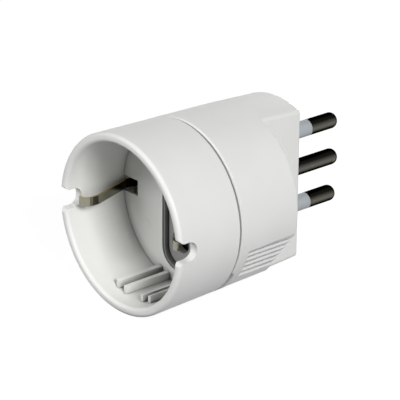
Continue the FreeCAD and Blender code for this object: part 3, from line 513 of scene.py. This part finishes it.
class ADAPTER_OT_ejector_marks(bpy.types.Operator):
    """Round witness marks on the socket floor, where the mould pushed the part out."""

    bl_idname = "adapter.ejector_marks"
    bl_label = "Ejector marks"

    def execute(self, context):
        sizes = context.scene.adapter_marks
        floor_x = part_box("socket_insert")[0][0]
        clear_selection()
        bpy.ops.mesh.primitive_cylinder_add(vertices=MARK_CORNERS, radius=sizes.radius,
                                            depth=2 * sizes.height,
                                            location=(floor_x, -sizes.across, -sizes.up),
                                            rotation=(0, math.radians(90), 0))
        first = bpy.context.object
        settle(first)
        shape_mark(first, sizes)
        marks = [first]
        for across, up in ((0, 1), (1, 0), (1, 1)):
            clear_selection()
            first.select_set(True)
            bpy.context.view_layer.objects.active = first
            bpy.ops.object.duplicate()
            copy = bpy.context.object
            copy.location = (0, 2 * across * sizes.across, 2 * up * sizes.up)
            settle(copy)
            marks.append(copy)
        clear_selection()
        for mark in marks:
            mark.select_set(True)
        bpy.context.view_layer.objects.active = marks[0]
        bpy.ops.object.join()
        marks[0].name = "ejector_marks"
        marks[0].data.materials.clear()
        marks[0].data.materials.append(bpy.data.materials["moulded_white_polycarbonate"])
        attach(marks[0], "housing")
        return {"FINISHED"}


def shape_mark(mark, sizes):
    """Sinks the middle of a mark behind a slope, so that only a thin ring stands proud."""
    front = min(vertex.co.x for vertex in mark.data.vertices)
    bpy.context.view_layer.objects.active = mark
    bpy.ops.object.mode_set(mode="EDIT")
    bpy.ops.mesh.select_all(action="DESELECT")
    bpy.ops.object.mode_set(mode="OBJECT")
    for face in mark.data.polygons:
        in_front = abs(face.center.x - front) < SAME_PLANE_MM * MM
        face.select = in_front and abs(face.normal.x) > FACES_X
    bpy.ops.object.mode_set(mode="EDIT")
    bpy.ops.mesh.select_mode(type="FACE")
    bpy.ops.mesh.inset(thickness=MARK_RING_MM * MM, depth=0)
    bpy.ops.mesh.inset(thickness=MARK_SLOPE_MM * MM, depth=-MARK_SINK * sizes.height)
    bpy.ops.mesh.select_all(action="DESELECT")
    bpy.ops.object.mode_set(mode="OBJECT")


class ADAPTER_OT_finish_inner_plastics(bpy.types.Operator):
    """Grey insert, black carrier and retainer, and dark shutter."""

    bl_idname = "adapter.finish_inner_plastics"
    bl_label = "Finish insert and inner plastics"

    def execute(self, context):
        colours = context.scene.adapter_colours
        # Glass-filled polyester for the insert: matte and slightly rough from its fibres.
        grey = moulded_plastic("moulded_grey_polyester", colours.insert_light,
                               colours.insert_dark, colours.insert_crease_shade, roughness=0.5,
                               grain_mm=0.3, grain_depth_mm=0.015, edge_mm=0.15)
        # Black nylon: a soft sheen on a plain moulded face.
        black = moulded_plastic("moulded_black_nylon", colours.nylon_light, colours.nylon_dark,
                                colours.nylon_crease_shade, roughness=0.5, grain_mm=0.3,
                                grain_depth_mm=0.01, edge_mm=0.15)
        # Acetal slides well: smoother and a little glossier than the nylon.
        slider = moulded_plastic("moulded_dark_acetal", colours.acetal_light,
                                 colours.acetal_dark, colours.acetal_crease_shade, roughness=0.38,
                                 grain_mm=0.4, grain_depth_mm=0.006, edge_mm=0.1)
        dress(grey, "socket_insert")
        dress(black, "contact_carrier", "pin_retainer")
        dress(slider, "safety_shutter")
        return {"FINISHED"}


class ADAPTER_OT_finish_pins(bpy.types.Operator):
    """Plated pins and their moulded sleeves."""

    bl_idname = "adapter.finish_pins"
    bl_label = "Finish pins and sleeves"

    def execute(self, context):
        colours = context.scene.adapter_colours
        # Black nickel reflects little at a slant. A paler band along the pins' sides is a painted
        # highlight, so a pin is black above and below it, with a few warm specks of brass.
        plated = plated_metal("black_nickel_plated_turned_brass", colours.pin_band_light,
                              colours.pin_band_dark, colours.pin_worn, colours.pin_off_band,
                              colours.pin_rim, roughness=0.26, lines_mm=0.25, edge_mm=0.2)
        # The sleeves are overmoulded nylon, satin and a little blue.
        sleeve = moulded_plastic("moulded_blue_grey_nylon", colours.sleeve_light,
                                 colours.sleeve_dark, colours.sleeve_crease_shade, roughness=0.4,
                                 grain_mm=0.3, grain_depth_mm=0.008, edge_mm=0.12)
        dress(plated, "line_pin", "neutral_pin", "earth_pin")
        dress(sleeve, "line_pin_sleeve", "neutral_pin_sleeve")
        return {"FINISHED"}


class ADAPTER_OT_finish_earth_clips(bpy.types.Operator):
    """Plated strip of the two earth clips."""

    bl_idname = "adapter.finish_earth_clips"
    bl_label = "Finish earth clips"

    def execute(self, context):
        colours = context.scene.adapter_colours
        # Bronze strip, plated before it was cut: bright nickel faces and thin yellow edges.
        strip = rolled_strip("nickel_plated_rolled_bronze", colours.clip_face, colours.clip_edge,
                             roughness=0.13)
        dress(strip, "earth_clip_left", "earth_clip_right")
        return {"FINISHED"}


class ADAPTER_OT_finish_contacts(bpy.types.Operator):
    """Brass contacts and strap, steel springs and screws."""

    bl_idname = "adapter.finish_contacts"
    bl_label = "Finish contacts and springs"

    def execute(self, context):
        colours = context.scene.adapter_colours
        # Bare brass: warm yellow, a little brighter where it was cut.
        brass = rolled_strip("rolled_bare_brass", colours.brass_face, colours.brass_edge,
                             roughness=0.3)
        # Spring steel: neutral grey with slightly paler cut edges.
        steel = rolled_strip("rolled_spring_steel", colours.steel_face, colours.steel_edge,
                             roughness=0.32)
        # Zinc on steel screws: pale grey with fine turning lines, in a painted highlight band along
        # the upright sides, and darker above and below it.
        zinc = plated_metal("zinc_plated_turned_steel", colours.zinc_light, colours.zinc_dark_and_band_shade,
                            colours.zinc_worn, colours.zinc_dark_and_band_shade, colours.zinc_rim,
                            roughness=0.3, lines_mm=0.2, edge_mm=0.1)
        dress(brass, "line_contact", "neutral_contact", "earth_strap")
        dress(steel, "line_contact_clamp", "neutral_contact_clamp", "shutter_spring")
        dress(zinc, "retainer_screws")
        return {"FINISHED"}


def soft_light(name, around, height, width, power):
    """Square lamp that points at the object's middle, from the given angles in degrees."""
    data = bpy.data.lights.new(name, "AREA")
    data.shape = "SQUARE"
    data.size = width
    data.energy = power
    light = bpy.data.objects.new(name, data)
    bpy.context.scene.collection.objects.link(light)
    turn = math.radians(around)
    rise = math.radians(height)
    away = Vector((math.sin(turn) * math.cos(rise), -math.cos(turn) * math.cos(rise),
                   math.sin(rise)))
    light.location = Vector(LAMP_TARGET_MM) * MM + LAMP_DISTANCE_M * away
    light.rotation_euler = (-away).to_track_quat("-Z", "Y").to_euler()
    light.visible_camera = False


class ADAPTER_OT_stage(bpy.types.Operator):
    """Floor, soft lights, world and camera."""

    bl_idname = "adapter.stage"
    bl_label = "Stage"

    def execute(self, context):
        settings = context.scene.adapter_stage
        clear_selection()
        bpy.ops.mesh.primitive_plane_add(size=FLOOR_WIDTH_M, location=(0, 0, CAD_BOX[0][2]))
        floor = bpy.context.object
        floor.name = "floor"
        floor.data.materials.append(floor_material(settings.floor_colour))
        powers = {
            "key": settings.key_power,
            "fill": settings.fill_power,
            "side": settings.side_power,
            "back": settings.back_power,
            "rear": settings.rear_power,
        }
        for name, (around, height, width) in LAMP_PLACES.items():
            soft_light(name, around, height, width, powers[name])
        light_world()
        data = bpy.data.cameras.new("camera")
        data.lens = settings.camera_lens
        data.sensor_width = CAMERA_SENSOR_MM
        data.clip_start = CAMERA_NEAREST_M
        camera = bpy.data.objects.new("camera", data)
        context.scene.collection.objects.link(camera)
        camera.location = settings.camera_place
        camera.rotation_euler = settings.camera_turn
        context.scene.camera = camera
        context.scene.view_settings.view_transform = "Standard"
        return {"FINISHED"}


def seen_share(tree, *rays):
    """1 for the named kinds of ray, and 0 for all others."""
    path = add_node(tree, "ShaderNodeLightPath")
    seen = path.outputs[rays[0]]
    for ray in rays[1:]:
        node = add_node(tree, "ShaderNodeMath", {"operation": "MAXIMUM"},
                        {0: seen, 1: path.outputs[ray]})
        seen = node.outputs[0]
    return seen


def floor_material(colour):
    """Matte paper that takes the object's shadow. Outside it, camera and reflections see white."""
    material, tree = empty_material("matte_white_paper")
    paper = add_node(tree, "ShaderNodeBsdfDiffuse", {"Color": linear(colour)})
    glow = add_node(tree, "ShaderNodeEmission", {"Color": WHITE, "Strength": FLOOR_GLOW})
    both = add_node(tree, "ShaderNodeAddShader", None, {0: paper.outputs[0], 1: glow.outputs[0]})
    choice = add_node(tree, "ShaderNodeMixShader", None,
                      {0: seen_share(tree, "Is Camera Ray", "Is Glossy Ray"),
                       1: paper.outputs[0], 2: both.outputs[0]})
    add_node(tree, "ShaderNodeOutputMaterial", None, {"Surface": choice.outputs[0]})
    return material


def light_world():
    """White surround for the camera, reflections and clear materials. It sheds no light itself."""
    world = bpy.data.worlds.new("studio")
    bpy.context.scene.world = world
    world.use_nodes = True
    tree = world.node_tree
    tree.nodes.clear()
    seen = seen_share(tree, "Is Camera Ray", "Is Glossy Ray", "Is Transmission Ray")
    glow = add_node(tree, "ShaderNodeBackground", {"Color": WHITE}, {"Strength": seen})
    add_node(tree, "ShaderNodeOutputWorld", None, {"Surface": glow.outputs[0]})


OPERATORS = (
    ADAPTER_OT_finish_housing,
    ADAPTER_OT_ejector_marks,
    ADAPTER_OT_finish_inner_plastics,
    ADAPTER_OT_finish_pins,
    ADAPTER_OT_finish_earth_clips,
    ADAPTER_OT_finish_contacts,
    ADAPTER_OT_stage,
)


class ADAPTER_PT_panel(bpy.types.Panel):
    """Lists the adapter's operators and settings."""

    bl_idname = "ADAPTER_PT_panel"
    bl_label = "Plug adapter"
    bl_space_type = "VIEW_3D"
    bl_region_type = "UI"
    bl_category = "Adapter"

    def draw(self, context):
        for operator in OPERATORS:
            self.layout.operator(operator.bl_idname)
        scene = context.scene
        for group in (scene.adapter_colours, scene.adapter_marks, scene.adapter_stage):
            box = self.layout.box()
            for name in group.__annotations__:
                box.prop(group, name)


CLASSES = (AdapterColours, AdapterStage, MouldMarkSizes) + OPERATORS + (ADAPTER_PT_panel,)


def register():
    for item in CLASSES:
        bpy.utils.register_class(item)
    bpy.types.Scene.adapter_colours = PointerProperty(type=AdapterColours)
    bpy.types.Scene.adapter_stage = PointerProperty(type=AdapterStage)
    bpy.types.Scene.adapter_marks = PointerProperty(type=MouldMarkSizes)


def unregister():
    del bpy.types.Scene.adapter_marks
    del bpy.types.Scene.adapter_stage
    del bpy.types.Scene.adapter_colours
    for item in reversed(CLASSES):
        bpy.utils.unregister_class(item)


def main():
    register()
    bpy.ops.adapter.finish_housing()
    bpy.ops.adapter.ejector_marks()
    bpy.ops.adapter.finish_inner_plastics()
    bpy.ops.adapter.finish_pins()
    bpy.ops.adapter.finish_earth_clips()
    bpy.ops.adapter.finish_contacts()
    bpy.ops.adapter.stage()


if __name__ == "__main__":
    main()
